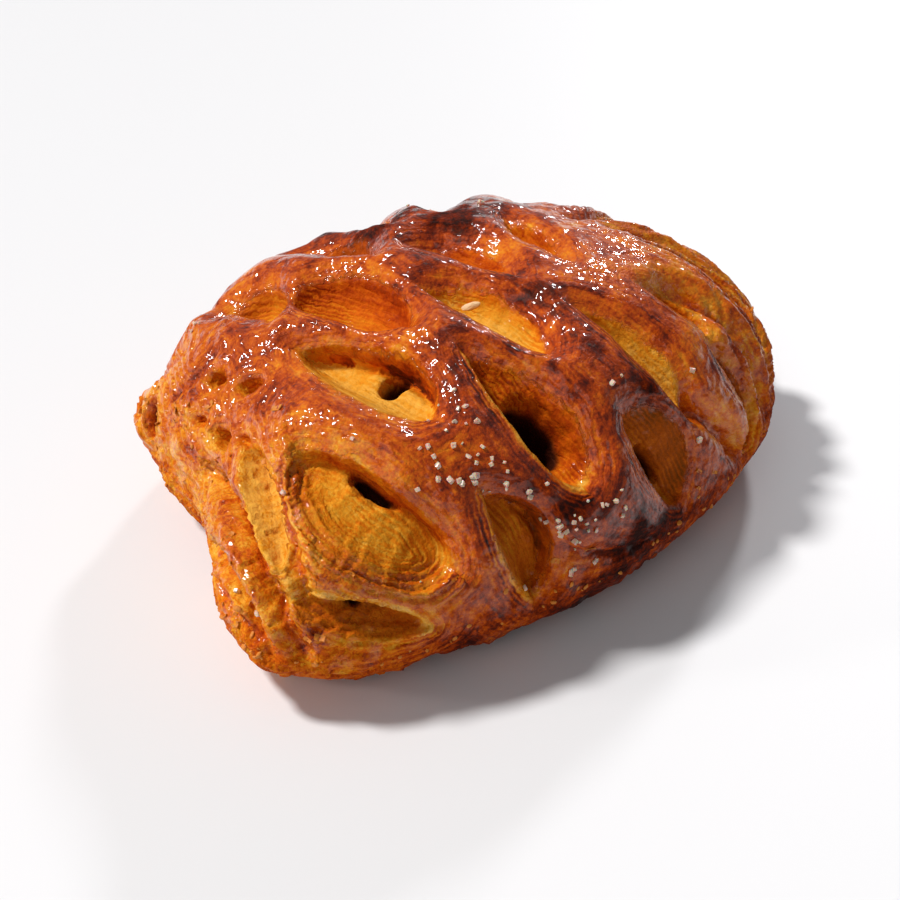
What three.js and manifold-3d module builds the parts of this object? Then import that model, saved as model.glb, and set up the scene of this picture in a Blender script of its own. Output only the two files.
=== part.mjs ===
// A lattice-top puff pastry: one baked solid.
//
// Laminated dough with rows of short cuts is wrapped over a filling and baked. The cuts pull open into
// slits as the dough rises, and the strands between them stay proud. The whole thing is one piece: a low
// dome with an uneven outline, a flat base where it lay on the tray, and the slits sunk into its skin.
//
// Millimetres, +Z up, +X along the longer way. The origin is under the middle of the box, on the base.

import Module from 'manifold-3d';
import * as THREE from 'three';
import { mergeVertices } from 'three/addons/utils/BufferGeometryUtils.js';

// Driving dimensions.
const HEIGHT = 47; // base to crown
const GIRTH_HEIGHT = 13; // where the dome is widest
const DOME_ROUNDNESS = 0.85; // below 1 the shoulders are fuller than an ellipse's
const TUCK_ROUNDNESS = 0.45; // the same, below the girth
const TUCK_STEEPNESS = 1.25; // above 1 leaves a flat base inside the tuck
const END_DROOP = 0.09; // how much lower the crown is this far along from the middle
const DROOP_LENGTH = 60;
const SURFACE_DETAIL = 11; // splits along each edge of the icosahedron that the skin starts from
const HEART = { along: 0.55, across: 0.45 }; // slits are cut towards a point under the skin
const SIDES_PER_SLIT = 12;
const STEPS_PER_SLIT = 8;

// The outline is a squarish oval with a few swells. A swell stands this many degrees anticlockwise from +X,
// goes this many millimetres out, and fades over this many degrees to each side.
const HALF_LENGTH = 60;
const HALF_WIDTH = 48.5;
const SQUARENESS = 2.4; // 2 is an ellipse
const OUTLINE_SWELLS = [
  { bearing: -8, out: 5.5, spread: 20 }, // the broad end
  { bearing: 210, out: 10, spread: 20 }, // the folded corner
  { bearing: 176, out: -7, spread: 20 }, // the narrow end, tucked in beside the corner
  { bearing: 305, out: -3, spread: 22 }, // the near side, towards the broad end
];

// Each slit runs through three places on the dome. A place is a bearing, in degrees anticlockwise from +X
// as seen from above, and a rise, in degrees from the girth (0) to the crown (90). Then come half its
// width and its depth. The slits run across the pastry and fan out towards its broad end.
const SLITS = [
  // The near side and the top.
  { through: [[142, 42], [142, 51], [156, 56]], halfWidth: 4, depth: 3 },
  { through: [[148, 61], [160, 71], [205, 77]], halfWidth: 5.5, depth: 5 },
  { through: [[174, 56], [204, 66], [229, 56]], halfWidth: 5.5, depth: 7 },
  { through: [[181, 83], [256, 80], [271, 63]], halfWidth: 5, depth: 4.5 },
  { through: [[99, 77], [66, 84], [321, 84]], halfWidth: 3.5, depth: 3 },
  { through: [[237, 69], [255, 50], [264, 27]], halfWidth: 5, depth: 10 },
  { through: [[202, 48], [218, 39], [235, 17]], halfWidth: 8, depth: 4 },
  { through: [[240, 35], [248, 18], [250, -4]], halfWidth: 4, depth: 3.5 },
  { through: [[281, 40], [287, 24], [291, 2]], halfWidth: 6, depth: 4 },
  { through: [[303, 69], [302, 49], [302, 26]], halfWidth: 3, depth: 3 },
  { through: [[328, 61], [327, 51], [323, 40]], halfWidth: 3, depth: 3 },
  { through: [[320, 40], [319, 24], [318, 0]], halfWidth: 3, depth: 3 },
  { through: [[36, 70], [14, 76], [340, 76]], halfWidth: 3, depth: 3 },
  { through: [[354, 58], [346, 40], [337, 20]], halfWidth: 3, depth: 2.5 },
  { through: [[113, 46], [112, 59], [122, 73]], halfWidth: 4.5, depth: 4.5 },
  { through: [[186, 36], [200, 34], [209, 24]], halfWidth: 3.5, depth: 3 },
  // The far side.
  { through: [[89, 62], [86, 50], [84, 37]], halfWidth: 4.4, depth: 5 },
  { through: [[62, 63], [60, 51], [57, 38]], halfWidth: 4.2, depth: 4 },
  { through: [[38, 58], [36, 46], [34, 33]], halfWidth: 4.0, depth: 3.5 },
  { through: [[14, 50], [13, 38], [12, 24]], halfWidth: 3.6, depth: 3 },
  { through: [[133, 32], [131, 20], [130, 6]], halfWidth: 4.2, depth: 3.5 },
  { through: [[104, 36], [102, 23], [101, 8]], halfWidth: 4.4, depth: 4 },
  { through: [[74, 33], [72, 20], [71, 5]], halfWidth: 4.6, depth: 4 },
  { through: [[47, 30], [45, 18], [44, 4]], halfWidth: 4.2, depth: 3.5 },
];

const radians = THREE.MathUtils.degToRad;

const wasm = await Module();
wasm.setup();

// A geometry with only its places left, and each shared corner kept once.
function joined(geometry) {
  geometry.deleteAttribute('normal');
  geometry.deleteAttribute('uv');
  return mergeVertices(geometry);
}

function solidFrom(geometry) {
  const vertProperties = Float32Array.from(geometry.attributes.position.array);
  const triVerts = Uint32Array.from(geometry.index.array);
  return new wasm.Manifold(new wasm.Mesh({ numProp: 3, vertProperties, triVerts }));
}

function geometryFrom(solid) {
  const mesh = solid.getMesh();
  const geometry = new THREE.BufferGeometry();
  geometry.setAttribute('position', new THREE.BufferAttribute(mesh.vertProperties, mesh.numProp));
  geometry.setIndex(new THREE.BufferAttribute(mesh.triVerts, 1));
  return geometry;
}

// Radius of the outline at a bearing in radians: the oval's, changed by each swell.
function outlineRadius(bearing) {
  const along = Math.abs(Math.cos(bearing)) / HALF_LENGTH;
  const across = Math.abs(Math.sin(bearing)) / HALF_WIDTH;
  const oval = (along ** SQUARENESS + across ** SQUARENESS) ** (-1 / SQUARENESS);
  return OUTLINE_SWELLS.reduce((radius, swell) => {
    const turn = bearing - radians(swell.bearing);
    const away = Math.atan2(Math.sin(turn), Math.cos(turn)) / radians(swell.spread);
    return radius + swell.out * Math.exp(-(away ** 2));
  }, oval);
}

// The place on the bare dome for a bearing, and a rise given by its sine and cosine.
function domePlace(bearing, riseSine, riseCosine) {
  const above = riseSine >= 0;
  const spread = riseCosine ** (above ? DOME_ROUNDNESS : TUCK_ROUNDNESS);
  const radius = outlineRadius(bearing) * spread;
  const x = radius * Math.cos(bearing);
  const y = radius * Math.sin(bearing);
  if (!above) {
    const drop = Math.min(1, -TUCK_STEEPNESS * riseSine);
    return new THREE.Vector3(x, y, GIRTH_HEIGHT * (1 - drop));
  }
  const droop = END_DROOP * (x / DROOP_LENGTH) ** 2 * riseSine;
  const z = GIRTH_HEIGHT + (HEIGHT - GIRTH_HEIGHT) * riseSine;
  return new THREE.Vector3(x, y, z * (1 - droop));
}

// The bare dome: a finely split icosahedron, each corner moved out to its place.
function domeGeometry() {
  const geometry = joined(new THREE.IcosahedronGeometry(1, SURFACE_DETAIL));
  const positions = geometry.attributes.position;
  const direction = new THREE.Vector3();
  for (let index = 0; index < positions.count; index += 1) {
    direction.fromBufferAttribute(positions, index).normalize();
    const bearing = Math.atan2(direction.y, direction.x);
    const place = domePlace(bearing, direction.z, Math.hypot(direction.x, direction.y));
    positions.setXYZ(index, place.x, place.y, place.z);
  }
  return geometry;
}

// The space that one slit opens: a pod, pointed at both ends, bent along the slit's middle. The pod starts
// as a sphere whose poles become its ends.
function slitGeometry({ through, halfWidth, depth }) {
  const places = through.map(([bearing, rise]) =>
    domePlace(radians(bearing), Math.sin(radians(rise)), Math.cos(radians(rise))),
  );
  const middle = new THREE.CatmullRomCurve3(places, false, 'centripetal');
  const geometry = joined(new THREE.SphereGeometry(1, SIDES_PER_SLIT, STEPS_PER_SLIT));
  const positions = geometry.attributes.position;
  const corner = new THREE.Vector3();
  for (let index = 0; index < positions.count; index += 1) {
    corner.fromBufferAttribute(positions, index);
    const along = THREE.MathUtils.clamp((corner.y + 1) / 2, 0, 1);
    const place = middle.getPoint(along);
    const heart = new THREE.Vector3(place.x * HEART.along, place.y * HEART.across, GIRTH_HEIGHT);
    const inward = heart.sub(place).normalize();
    const side = middle.getTangent(along).cross(inward).normalize();
    place.addScaledVector(side, halfWidth * corner.x);
    place.addScaledVector(inward, depth * corner.z);
    positions.setXYZ(index, place.x, place.y, place.z);
  }
  return geometry;
}

// The box is centred over the origin, with the base at height 0.
function standOnOrigin(geometry) {
  geometry.computeBoundingBox();
  const middle = geometry.boundingBox.getCenter(new THREE.Vector3());
  geometry.translate(-middle.x, -middle.y, -geometry.boundingBox.min.z);
  geometry.computeVertexNormals();
  return geometry;
}

const crust = new THREE.MeshStandardMaterial({ color: 0xb5651d, roughness: 0.35, metalness: 0 });

const slits = SLITS.map((slit) => solidFrom(slitGeometry(slit)));
const baked = slits.reduce((solid, slit) => solid.subtract(slit), solidFrom(domeGeometry()));

const pastry = new THREE.Mesh(standOnOrigin(geometryFrom(baked)), crust);
pastry.name = 'pastry';

const model = new THREE.Group();
model.add(pastry);

export default model;
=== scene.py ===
# %% [markdown]
# # A lattice-top puff pastry
# Dough rolled in many thin layers is cut in short rows, wrapped over a filling and baked. The cuts pull open
# into slits, the strands between them brown and shine, and the walls of the slits show the layers. The CAD
# model holds the plain solid at its real size. Here its surface is made: one skin for the whole pastry,
# because it was baked in one piece, then the coarse sugar and the loose flakes that lie on it.

# %% Load the fixed frame
import math

import bpy
import numpy as np
from mathutils import Matrix, Quaternion, Vector, kdtree
from mathutils.bvhtree import BVHTree


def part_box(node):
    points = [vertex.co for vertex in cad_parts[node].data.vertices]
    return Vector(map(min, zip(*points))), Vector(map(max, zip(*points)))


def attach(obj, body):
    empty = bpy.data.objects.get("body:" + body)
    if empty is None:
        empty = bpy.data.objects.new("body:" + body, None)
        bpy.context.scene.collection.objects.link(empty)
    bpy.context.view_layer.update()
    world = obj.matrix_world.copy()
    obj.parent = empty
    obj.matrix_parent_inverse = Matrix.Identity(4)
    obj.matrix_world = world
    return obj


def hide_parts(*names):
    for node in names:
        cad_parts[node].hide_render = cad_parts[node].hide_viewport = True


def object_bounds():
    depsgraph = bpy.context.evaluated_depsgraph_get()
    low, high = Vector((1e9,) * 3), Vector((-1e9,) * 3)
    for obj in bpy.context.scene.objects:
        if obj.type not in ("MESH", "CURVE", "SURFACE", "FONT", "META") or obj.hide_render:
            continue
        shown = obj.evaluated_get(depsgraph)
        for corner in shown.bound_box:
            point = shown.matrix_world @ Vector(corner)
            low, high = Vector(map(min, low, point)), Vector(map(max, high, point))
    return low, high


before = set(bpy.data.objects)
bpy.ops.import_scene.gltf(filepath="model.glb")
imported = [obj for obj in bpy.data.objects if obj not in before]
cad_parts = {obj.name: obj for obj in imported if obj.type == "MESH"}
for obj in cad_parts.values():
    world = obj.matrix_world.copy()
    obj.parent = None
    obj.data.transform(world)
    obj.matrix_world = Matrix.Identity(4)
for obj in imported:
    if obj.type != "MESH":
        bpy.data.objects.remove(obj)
cad_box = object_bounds()
low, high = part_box("pastry")
print("the pastry's box in mm:", [round(1000 * side, 1) for side in high - low])

# %% [markdown]
# ## The dome
# A proved and baked pastry is a low dome with an uneven outline. Its widest line, the girth, is a little
# above the base, and below it the side tucks in to the flat that lay on the tray. The outline is a squarish
# oval with four swells, and the dome rises from the girth to the crown, in millimetres as in the CAD model.
# Later pieces are placed by a bearing, in degrees round from +X, and a rise, in degrees up from the girth.

# %% The dome's formula
MM = 0.001
HEIGHT = 47.0
GIRTH_HEIGHT = 13.0
DOME_ROUNDNESS = 0.85
TUCK_ROUNDNESS = 0.45
TUCK_STEEPNESS = 1.25
END_DROOP = 0.09
DROOP_LENGTH = 60.0
HALF_LENGTH = 60.0
HALF_WIDTH = 48.5
SQUARENESS = 2.4
# Each swell's bearing in degrees, how far out it goes in mm and how many degrees it fades over: the broad
# end, the folded corner, the narrow end tucked in beside it, and the near side.
OUTLINE_SWELLS = [(-8, 5.5, 20), (210, 10.0, 20), (176, -7.0, 20), (305, -3.0, 22)]


def outline_radius(bearing):
    """The outline's radius at a bearing in radians: a squarish oval, changed by each swell."""
    along = np.abs(np.cos(bearing)) / HALF_LENGTH
    across = np.abs(np.sin(bearing)) / HALF_WIDTH
    radius = (along**SQUARENESS + across**SQUARENESS) ** (-1 / SQUARENESS)
    for swell_bearing, out, spread in OUTLINE_SWELLS:
        away = np.mod(np.degrees(bearing) - swell_bearing + 180, 360) - 180
        radius = radius + out * np.exp(-((away / spread) ** 2))
    return radius


def dome_places(bearing, rise_sine, rise_cosine):
    """Places on the bare dome, in mm, for bearings and rises."""
    above = rise_sine >= 0
    spread = np.where(above, rise_cosine**DOME_ROUNDNESS, rise_cosine**TUCK_ROUNDNESS)
    radius = outline_radius(bearing) * spread
    x = radius * np.cos(bearing)
    y = radius * np.sin(bearing)
    droop = END_DROOP * (x / DROOP_LENGTH) ** 2 * rise_sine
    upper = (GIRTH_HEIGHT + (HEIGHT - GIRTH_HEIGHT) * rise_sine) * (1 - droop)
    lower = GIRTH_HEIGHT * (1 - np.minimum(1, -TUCK_STEEPNESS * rise_sine))
    return np.stack([x, y, np.where(above, upper, lower)], axis=-1)


def dome_place(bearing_degrees, rise_degrees):
    """One place on the dome, in mm."""
    rise = math.radians(rise_degrees)
    return dome_places(
        np.array([math.radians(bearing_degrees)]), np.array([math.sin(rise)]), np.array([math.cos(rise)])
    )[0]


ring = np.linspace(0, 2 * math.pi, 721)
girth_line = dome_places(ring, np.zeros_like(ring), np.ones_like(ring))
dome_middle = (girth_line.min(0) + girth_line.max(0)) / 2
box_middle = np.array((low + high) / 2) / MM
shift = np.array([box_middle[0] - dome_middle[0], box_middle[1] - dome_middle[1], low.z / MM])
print("the dome's outline is", np.round(np.ptp(girth_line, axis=0)[:2], 1), "mm")
print("it is moved by", np.round(shift, 2), "mm to lie over the CAD solid")

# %% [markdown]
# ## Camera, floor and light
# The stage comes first so that every step after it can be looked at. The camera is a little above and to the
# near left of the pastry. The light is a window behind and to the left, so that the strands shine along
# their tops and the slits keep their shade, with weaker lamps from the other sides and a pale sky.

# %% Camera
CAMERA_TARGET = np.array([-4.7, -3.3, 10.0])
CAMERA_BEARING = math.radians(236.0)
CAMERA_RISE = math.radians(38.2)
CAMERA_DISTANCE = 302.7
camera_offset = CAMERA_DISTANCE * np.array([
    math.cos(CAMERA_RISE) * math.cos(CAMERA_BEARING),
    math.cos(CAMERA_RISE) * math.sin(CAMERA_BEARING),
    math.sin(CAMERA_RISE),
])

camera_data = bpy.data.cameras.new("camera")
camera_data.sensor_width = 36
camera_data.lens = 64
camera_data.clip_start = 0.01
camera = bpy.data.objects.new("camera", camera_data)
bpy.context.scene.collection.objects.link(camera)
camera.location = Vector((CAMERA_TARGET + camera_offset + shift) * MM)
camera_aim = Vector((CAMERA_TARGET + shift) * MM) - camera.location
camera.rotation_euler = camera_aim.to_track_quat("-Z", "Y").to_euler()
bpy.context.scene.camera = camera
print("the camera is", round(camera_aim.length, 3), "m from what it looks at")

# %% Floor
FLOOR_SIZE = 6.0
bpy.ops.object.select_all(action="DESELECT")
bpy.ops.mesh.primitive_plane_add(size=FLOOR_SIZE)
floor = bpy.context.object
floor.name = "floor"
floor_paint = bpy.data.materials.new("pale_floor")
floor_paint.use_nodes = True
floor_shader = floor_paint.node_tree.nodes["Principled BSDF"]
floor_shader.inputs["Base Color"].default_value = (0.78, 0.78, 0.79, 1)
floor_shader.inputs["Roughness"].default_value = 0.5
floor.data.materials.append(floor_paint)


# %% Lamps and sky
def far_lamp(name, towards, strength, spread_degrees, colour):
    """A lamp so far away that it lights the whole floor evenly, seen as a disc of this many degrees."""
    data = bpy.data.lights.new(name, "SUN")
    data.energy = strength
    data.angle = math.radians(spread_degrees)
    data.color = colour
    lamp = bpy.data.objects.new(name, data)
    bpy.context.scene.collection.objects.link(lamp)
    lamp.rotation_euler = Vector(towards).to_track_quat("Z", "Y").to_euler()
    return lamp


far_lamp("window", (-0.46, 0.52, 0.96), 3.2, 9, (1.0, 0.985, 0.97))
far_lamp("far_window", (0.70, 0.54, 0.47), 0.9, 6, (0.96, 0.97, 1.0))
far_lamp("near_fill", (-1.0, -0.45, 0.6), 0.5, 50, (1.0, 0.97, 0.93))
far_lamp("low_window", (-0.8, 0.45, 0.30), 0.4, 6, (1.0, 0.97, 0.94))

sky = bpy.data.worlds.new("sky")
sky.use_nodes = True
sky_light = sky.node_tree.nodes["Background"]
sky_light.inputs["Color"].default_value = (0.93, 0.95, 1.0, 1)
sky_light.inputs["Strength"].default_value = 0.2
# The backdrop behind the floor is as pale as the floor, but gives no light.
sky_nodes = sky.node_tree.nodes
backdrop = sky_nodes.new("ShaderNodeBackground")
backdrop.inputs["Color"].default_value = (0.90, 0.90, 0.91, 1)
seen = sky_nodes.new("ShaderNodeLightPath")
either = sky_nodes.new("ShaderNodeMixShader")
for source, target in (
    (seen.outputs["Is Camera Ray"], either.inputs[0]),
    (sky_light.outputs[0], either.inputs[1]),
    (backdrop.outputs[0], either.inputs[2]),
    (either.outputs[0], sky_nodes["World Output"].inputs["Surface"]),
):
    sky.node_tree.links.new(source, target)
bpy.context.scene.world = sky
bpy.context.scene.view_settings.view_transform = "Standard"

# %% [markdown]
# ## The slits
# Each slit runs through three places on the dome, mostly from the far side to the near side, and is so many
# millimetres wide to its left and to its right. A baker sees that no two are alike: some are pointed and
# some round at their ends, some walls are sheer and some slope, in some the floor lies under one strand and
# rises to meet the other, and a few go right down into the dark, which is painted near black as shade.


# %% The slits' list
def slit(
    through, left, right, depth, deepest=0.0, steep_left=4.0, steep_right=1.6, widest=0.0, points=(0.6, 0.6),
    end_rise=0.0, undercut=0.0, trench=0.0, bulge=0.0, hole=None, rim=4.6, shoulder=6.2, left_rim=0.55,
    brown=0.15, wall_brown=0.42, ochre=0.0, lip=None, steps=0.0,
):
    """One slit's sizes. Across it, -1 is its left edge and 1 its right. Along it, -1 and 1 are its ends.

    left, right and depth are its half widths and its depth in mm. deepest is where across it the floor is
    lowest. steep_left and steep_right shape the walls: 1 is an even slope and 6 is sheer. widest is where
    along it is widest. points shape its two ends: 0.5 is round and 1 is pointed. end_rise is how much the
    floor rises towards the first end, as a share of the depth.

    undercut is how many mm the wall goes back under the right strand, or under the left one below 0, and
    trench is how many mm deeper the floor is at its foot; under an undercut or in a trench the floor is
    painted dark as shade. bulge is how many mm the floor's middle is raised.
    hole is where a hole is along and across, its radius in mm, how much longer it is than wide, its depth in
    mm, and how deep in mm it is painted black as shade. rim is how many mm the edge sinks, shoulder how far
    from the edge that reaches, and left_rim the share of it at the left edge.

    brown is how brown the floor is, with painted shade where it lies in shadow, and
    wall_brown how much darker its far wall is, partly browner crust and partly painted shade. ochre is
    how dull it is, and steps how clearly its layers show. lip is how pale the edge is and on which side, -1
    left or 1 right.
    """
    return dict(locals())


SLITS = {
    "far_left": slit([(142, 42), (142, 51), (156, 56)], 4.2, 5.8, 8, steep_left=3, steep_right=3,
        points=(0.7, 0.6), brown=0.16, ochre=0.5),
    "top_left": slit([(148, 61), (160, 71), (205, 77)], 6.2, 7.8, 10, deepest=-0.2, steep_left=5,
        steep_right=3, widest=-0.15, points=(0.5, 0.55), end_rise=0.2, brown=0.38, wall_brown=0.28),
    "left_hole": slit([(174, 56), (204, 66), (229, 56)], 5.2, 7.8, 8.6, deepest=0.35, steep_left=1.5,
        steep_right=4, widest=0.15, points=(0.8, 0.5), undercut=2.4, trench=4,
        hole=(0.16, 0.52, 2.2, 1.5, 6, 8), brown=0.06, wall_brown=0.3, ochre=0.1),
    "top_middle": slit([(181, 83), (256, 80), (271, 63)], 4.6, 5.8, 7.4, steep_left=3, steep_right=2.4,
        widest=0.15, points=(0.8, 0.55), brown=0.02, wall_brown=0.34),
    "crown": slit([(99, 77), (66, 84), (321, 84)], 4, 5, 7, steep_right=2.4, points=(0.7, 0.8), brown=0.26),
    "front_hole": slit([(237, 69), (255, 50), (264, 27)], 4.2, 7, 9, deepest=-0.45, steep_left=6,
        steep_right=1.5, widest=0.25, points=(0.9, 0.5), undercut=-1.6, hole=(0.22, 0.16, 4.5, 2, 12, 7.4),
        brown=0.3, wall_brown=0.3, lip=(1, -1)),
    "left_swell": slit([(202, 48), (218, 39), (235, 17)], 9.5, 6.8, 6.8, deepest=0.5, steep_left=1.9,
        steep_right=5, points=(0.6, 0.5), undercut=1.2, bulge=1.4, hole=(-0.2, 0.74, 2.6, 3.6, 5, 6),
        rim=3.4, left_rim=0.1, brown=0.22, wall_brown=0.24, ochre=0.08, steps=1),
    "front_low": slit([(240, 35), (248, 18), (250, -4)], 4.4, 5.6, 5.6, deepest=0.3, steep_left=1.3,
        steep_right=5, points=(0.9, 0.9), undercut=1, trench=5, rim=2.4, left_rim=0.3, brown=0.42,
        ochre=0.5, lip=(0.6, -1)),
    "right_swell": slit([(281, 40), (287, 24), (291, 2)], 5, 8, 5.6, deepest=-0.2, steep_left=6,
        steep_right=1.1, points=(0.6, 0.7), hole=(0.1, -0.04, 1.6, 3.4, 4, 5.6), rim=2.8, brown=0.36,
        ochre=0.6),
    "right_long": slit([(303, 69), (302, 49), (302, 26)], 2.8, 3.4, 6.6, deepest=-0.3, steep_left=5,
        steep_right=1.8, points=(0.8, 0.8), rim=3.4, shoulder=4.2, brown=0, wall_brown=0.18),
    "right_short": slit([(328, 61), (327, 51), (323, 40)], 2.4, 3, 5.8, steep_right=2.4, points=(0.9, 0.8),
        hole=(0.55, 0, 1.4, 1.6, 4, 5.6), rim=3, shoulder=3.8, brown=0.16, ochre=0.3),
    "right_fold": slit([(320, 40), (319, 24), (318, 0)], 2.4, 3.2, 5.4, deepest=0.1, points=(1, 1), rim=2.6,
        shoulder=3.4, brown=0.34, ochre=0.6),
    "crown_right": slit([(36, 70), (14, 76), (340, 76)], 2.6, 3.4, 6, steep_right=2.2, points=(0.9, 0.9),
        rim=3.2, shoulder=4, brown=0.3),
    "end_fold": slit([(354, 58), (346, 40), (337, 20)], 2.2, 3, 5.6, points=(1, 1), rim=2.6, shoulder=3.4,
        brown=0.34, ochre=0.5),
    "far_top": slit([(113, 46), (112, 59), (122, 73)], 3.8, 5.2, 8, deepest=0.1, steep_right=2.6,
        points=(0.8, 0.8), brown=0.34, ochre=0.4),
    "left_leaf": slit([(186, 36), (200, 34), (209, 24)], 3.2, 3.8, 6.4, deepest=0.4, steep_left=1.3,
        steep_right=5, points=(0.9, 0.7), undercut=1.2, trench=3, rim=2.6, left_rim=0.3, brown=-0.04,
        wall_brown=0.3),
    "corner_hollow": slit([(211, 17), (221, 12), (231, 3)], 4, 3, 4.2, deepest=0.55, steep_left=1.2,
        steep_right=6, points=(0.6, 0.9), undercut=2, hole=(-0.1, 0.7, 1, 3.5, 3, 3), rim=1.6, left_rim=0.2,
        brown=0.42, ochre=0.6, lip=(0.9, 1), steps=0.5),
    "knob_recess": slit([(153, 19), (155, 13), (157, 7)], 1.5, 1.8, 4, rim=0.8, shoulder=1.2, brown=0.7),
    "bubble_a": slit([(162, 37), (165, 38), (168, 39)], 1.8, 2.1, 4, rim=1, shoulder=1.6, brown=0.3,
        ochre=0.4),
    "bubble_b": slit([(172, 41), (176, 43), (179, 46)], 2, 2.6, 4.6, rim=1, shoulder=1.6, brown=0.26,
        ochre=0.2),
    "bubble_c": slit([(174, 27), (178, 28), (181, 30)], 1.8, 2.2, 4, rim=1, shoulder=1.6, brown=0.3,
        ochre=0.2),
    "bubble_d": slit([(182, 33), (185, 35), (188, 37)], 1.3, 1.7, 3.2, rim=0.8, shoulder=1.4, brown=0.3),
    "bubble_e": slit([(167, 24), (169, 26), (171, 28)], 1.1, 1.4, 2.8, rim=0.8, shoulder=1.4, brown=0.4),
    "far_a": slit([(90, 64), (86, 50), (83, 33)], 2.8, 4, 7, steep_right=2, points=(0.9, 0.9),
        hole=(0.2, 0, 2, 2.2, 5, 6.2)),
    "far_b": slit([(64, 66), (60, 51), (56, 34)], 2.6, 3.8, 6.6, deepest=-0.2, points=(1, 0.9), rim=3.4,
        shoulder=4.4),
    "far_c": slit([(38, 60), (36, 46), (33, 28)], 3.4, 2.8, 6, deepest=0.3, steep_left=1.5, steep_right=4,
        points=(0.9, 1), rim=3.2, shoulder=4),
    "far_d": slit([(15, 52), (13, 38), (12, 20)], 2, 2.6, 4.8, points=(1, 1), rim=2.8, shoulder=3.6,
        ochre=0.3),
    "far_e": slit([(134, 34), (131, 20), (129, -2)], 2.6, 4.2, 5.2, deepest=-0.2, steep_left=6,
        steep_right=1.2, points=(1, 0.9), rim=2, brown=0.3, ochre=0.5),
    "far_f": slit([(104, 38), (102, 23), (100, 2)], 3.8, 2.8, 5.2, deepest=0.5, steep_left=1.2,
        steep_right=6, points=(0.9, 1), rim=2, brown=0.24, ochre=0.4),
    "far_g": slit([(74, 36), (72, 20), (70, -1)], 2.6, 4, 5, deepest=-0.5, steep_left=6, steep_right=1.2,
        points=(1, 0.9), rim=2, brown=0.3, ochre=0.6),
    "far_h": slit([(48, 32), (45, 18), (43, 0)], 2.4, 3.2, 5.2, deepest=0.2, points=(1, 1), rim=2.8,
        shoulder=3.6, ochre=0.3),
}
print(len(SLITS), "slits")

# %% The creases' list
# Where two strands lie side by side without a gap there is only a crease: three places, how wide to each
# side it rounds off, and how deep it is, in mm.
CREASES = {
    "right_1": ([(303, 47), (304, 28), (315, -8)], 4.2, 4.4),
    "right_2": ([(321, 40), (321, 16), (315, -6)], 4.0, 4.0),
    "right_3": ([(335, 58), (330, 36), (324, 2)], 4.6, 4.6),
    "right_4": ([(347, 50), (339, 30), (331, 0)], 4.4, 4.4),
    "right_5": ([(4, 60), (354, 38), (341, 2)], 4.6, 4.6),
    "right_6": ([(16, 62), (6, 36), (353, 0)], 4.6, 4.2),
    "right_7": ([(28, 54), (19, 30), (6, -2)], 4.8, 4.4),
    "right_3b": ([(329, 44), (324, 26), (318, -2)], 2.6, 2.0),
    "right_4b": ([(341, 48), (334, 26), (328, -2)], 2.6, 2.2),
    "right_5b": ([(354, 52), (346, 30), (335, -2)], 2.8, 2.2),
    "right_8": ([(44, 36), (32, 18), (20, -2)], 4.6, 4.0),
    "corner_fold": ([(176, 16), (202, 26), (214, 0)], 3.8, 6.0),
    "corner_stack": ([(188, 5), (201, 15), (210, -2)], 3.2, 4.6),
    "corner_seam": ([(201, 42), (211, 27), (216, 8)], 3.0, 3.4),
    "left_end": ([(186, 26), (190, 12), (192, -4)], 3.6, 2.2),
    "corner_under": ([(196, 8), (204, 6), (212, -2)], 2.6, 2.0),
    "left_rib": ([(158, 44), (160, 34), (157, 22)], 2.8, 1.4),
    "front_seam": ([(256, 14), (268, 4), (282, 0)], 2.8, 1.4),
    "far_1": ([(118, 40), (117, 24), (116, 0)], 3.8, 3.0),
    "far_2": ([(88, 30), (87, 16), (86, -4)], 3.8, 3.0),
    "far_3": ([(59, 32), (58, 16), (58, -4)], 3.8, 3.0),
    "far_4": ([(148, 34), (146, 20), (144, -2)], 3.6, 2.6),
}
# Swellings, listed one by one: bearing, rise, radius and height in mm.
KNOBS = [
    (151, 9, 8.0, 4.6),
    (151, 10, 2.6, -3.4),
    (143, 38, 6.0, 1.0),
    (206, 25, 6.0, 1.4),
    (178, 44, 5.0, 0.8),
    (196, 50, 5.0, 0.7),
    (211, 10, 5.0, 1.6),
    (209, -8, 5.0, 1.4),
    (266, 24, 8.0, 0.8),
    (97, 62, 8.0, 1.0),
]
# Where the crust caught: bearing, rise, radius in mm and how dark.
SCORCHED = [
    (100, 63, 6.0, 0.30), (80, 62, 4.0, 0.34), (290, 50, 3.0, 0.14), (293, 42, 2.6, 0.20),
    (296, 34, 3.0, 0.12), (230, 60, 5.0, 0.08), (248, 36, 6.0, 0.14), (258, 22, 8.0, 0.14),
    (268, 24, 6.0, 0.12), (276, 20, 4.0, 0.14), (60, 70, 6.0, 0.2), (110, 20, 6.0, 0.14),
    (40, 66, 5.0, 0.2),
]
print(len(CREASES), "creases,", len(KNOBS), "swellings and", len(SCORCHED), "scorched spots")


# %% Where a place lies in a slit
def smooth(value, start, end):
    """0 below start, 1 above end, and a smooth step between."""
    part = np.clip((value - start) / (end - start), 0, 1)
    return part * part * (3 - 2 * part)


SAMPLES_PER_SLIT = 33
HEART_HEIGHT = 4.0  # mm, the height of the point that slits are cut towards


def slit_line(through):
    """Evenly sampled places along a slit's middle, and the directions along them and to their right."""
    first, middle, last = (dome_place(*place) for place in through)
    bend = 2 * middle - (first + last) / 2
    part = np.linspace(0, 1, SAMPLES_PER_SLIT)[:, None]
    places = (1 - part) ** 2 * first + 2 * part * (1 - part) * bend + part**2 * last
    along = np.gradient(places, axis=0)
    along /= np.linalg.norm(along, axis=1, keepdims=True)
    outwards = places - np.array([0, 0, HEART_HEIGHT])
    outwards[:, :2] *= 0.55
    across = np.cross(outwards, along)
    across /= np.linalg.norm(across, axis=1, keepdims=True)
    return places, along, across


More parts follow.
